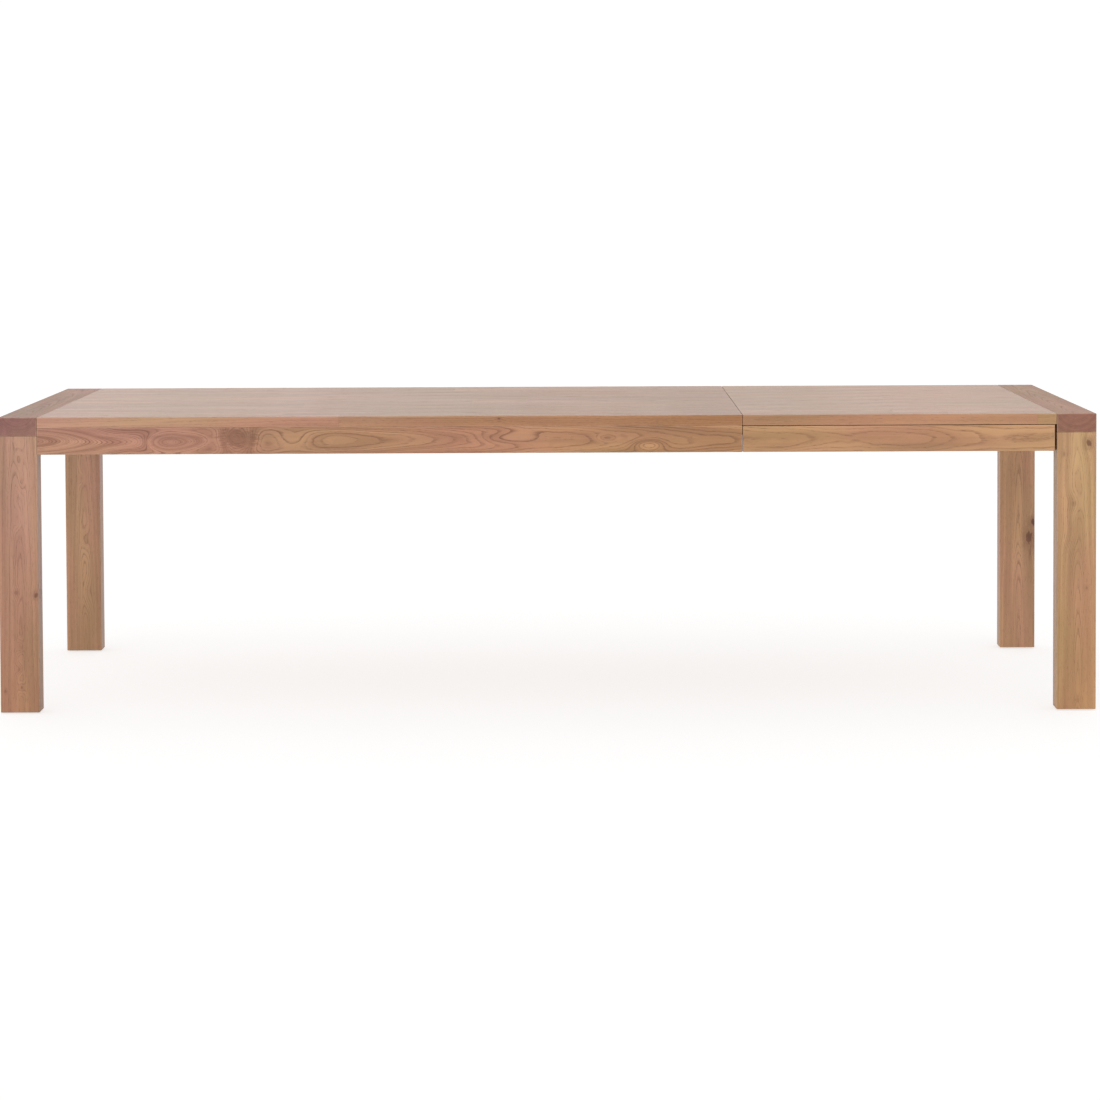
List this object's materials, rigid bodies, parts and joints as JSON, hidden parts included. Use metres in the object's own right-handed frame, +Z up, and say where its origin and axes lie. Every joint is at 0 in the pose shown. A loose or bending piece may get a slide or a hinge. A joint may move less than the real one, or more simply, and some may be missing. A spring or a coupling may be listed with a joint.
{
  "type": "extendable dining table",
  "caption": "Long rectangular oak dining table with flat plank legs, a thick rail across each end and a loose leaf between the fixed table and a pull-out end on roller runners.",
  "frame": {"origin": "on the floor, under the middle of the extended table", "axes": "+X along the table towards the pull-out end, +Y from the front to the back, +Z up"},
  "size_m": [2.8, 1, 0.76],
  "materials": {
    "oak": "satin oiled",
    "beech": "raw",
    "beam_steel": "powder coated",
    "zinc_steel": "zinc plated",
    "aluminium": "mill",
    "nylon": "matte",
    "rubber": "matte"
  },
  "bodies": {
    "fixed_table": {"back_guide_channel": "aluminium", "bearer_1": "oak", "bearer_2": "oak", "bearer_3": "oak", "bearer_screws": "zinc_steel", "bracket_screws": "zinc_steel", "channel_screws": "zinc_steel", "front_guide_channel": "aluminium", "keeper_screws": "zinc_steel", "left_back_leg": "oak", "left_cross_rail": "oak", "left_end_dowels": "beech", "left_end_rail": "oak", "left_front_leg": "oak", "left_glides": "nylon", "left_leg_bolts": "zinc_steel", "left_rail_screws": "zinc_steel", "lock_keepers": "zinc_steel", "main_back_apron": "oak", "main_front_apron": "oak", "main_glue_blocks": "oak", "main_top": "oak", "mouth_axles": "zinc_steel", "mouth_brackets": "zinc_steel", "mouth_corner_blocks": "oak", "mouth_cross_rail": "oak", "slide_stops": "rubber"},
    "pull_out_end": {"back_slide_beam": "beam_steel", "beam_caps": "nylon", "beam_plate_screws": "zinc_steel", "beam_plates": "zinc_steel", "front_slide_beam": "beam_steel", "leaf_pins": "zinc_steel", "right_back_leg": "oak", "right_cross_rail": "oak", "right_end_rail": "oak", "right_front_leg": "oak", "right_glides": "nylon", "right_leg_bolts": "zinc_steel", "right_rail_screws": "zinc_steel", "tail_axles": "zinc_steel"},
    "loose_leaf": {"batten_screws": "zinc_steel", "leaf_back_apron": "oak", "leaf_front_apron": "oak", "leaf_glue_blocks": "oak", "leaf_left_batten": "oak", "leaf_middle_batten": "oak", "leaf_right_batten": "oak", "leaf_top": "oak", "lock_pivots": "zinc_steel", "lock_plates": "zinc_steel", "lock_screws": "zinc_steel"},
    "front_lock_lever": {"front_lock_lever": "zinc_steel"},
    "front_mouth_roller": {"front_mouth_roller": "nylon"},
    "front_tail_roller": {"front_tail_roller": "nylon"},
    "back_lock_lever": {"back_lock_lever": "zinc_steel"},
    "back_mouth_roller": {"back_mouth_roller": "nylon"},
    "back_tail_roller": {"back_tail_roller": "nylon"}
  },
  "joints": [
    {"name": "end_pull_out", "type": "slide", "parent": "fixed_table", "child": "pull_out_end", "axis": [1, 0, 0], "range_m": [0, 0.06]},
    {"name": "leaf_lift_off", "type": "slide", "parent": "pull_out_end", "child": "loose_leaf", "axis": [0, 0, 1], "range_m": [0, 0.35]},
    {"name": "front_lock_turn", "type": "hinge", "parent": "loose_leaf", "child": "front_lock_lever", "pos_m": [0.54, -0.4, 0.7292], "axis": [0, 0, -1], "range_deg": [-90, 0]},
    {"name": "back_lock_turn", "type": "hinge", "parent": "loose_leaf", "child": "back_lock_lever", "pos_m": [0.54, 0.4, 0.7292], "axis": [0, 0, 1], "range_deg": [-90, 0]},
    {"name": "front_mouth_roller_spin", "type": "hinge", "parent": "fixed_table", "child": "front_mouth_roller", "pos_m": [0.456, -0.3, 0.6832], "axis": [0, 1, 0], "range_deg": [0, 430.7]},
    {"name": "front_tail_roller_spin", "type": "hinge", "parent": "pull_out_end", "child": "front_tail_roller", "pos_m": [0.075, -0.3258, 0.707], "axis": [0, 1, 0], "range_deg": [-282.8, 0]},
    {"name": "back_mouth_roller_spin", "type": "hinge", "parent": "fixed_table", "child": "back_mouth_roller", "pos_m": [0.456, 0.3, 0.6832], "axis": [0, 1, 0], "range_deg": [0, 430.7]},
    {"name": "back_tail_roller_spin", "type": "hinge", "parent": "pull_out_end", "child": "back_tail_roller", "pos_m": [0.075, 0.3258, 0.707], "axis": [0, 1, 0], "range_deg": [-282.8, 0]}
  ],
  "couplings": [
    {"joint": "front_mouth_roller_spin", "follows": "end_pull_out", "rad_per_m": 125},
    {"joint": "front_tail_roller_spin", "follows": "end_pull_out", "rad_per_m": -81.967},
    {"joint": "back_mouth_roller_spin", "follows": "end_pull_out", "rad_per_m": 125},
    {"joint": "back_tail_roller_spin", "follows": "end_pull_out", "rad_per_m": -81.967}
  ]
}
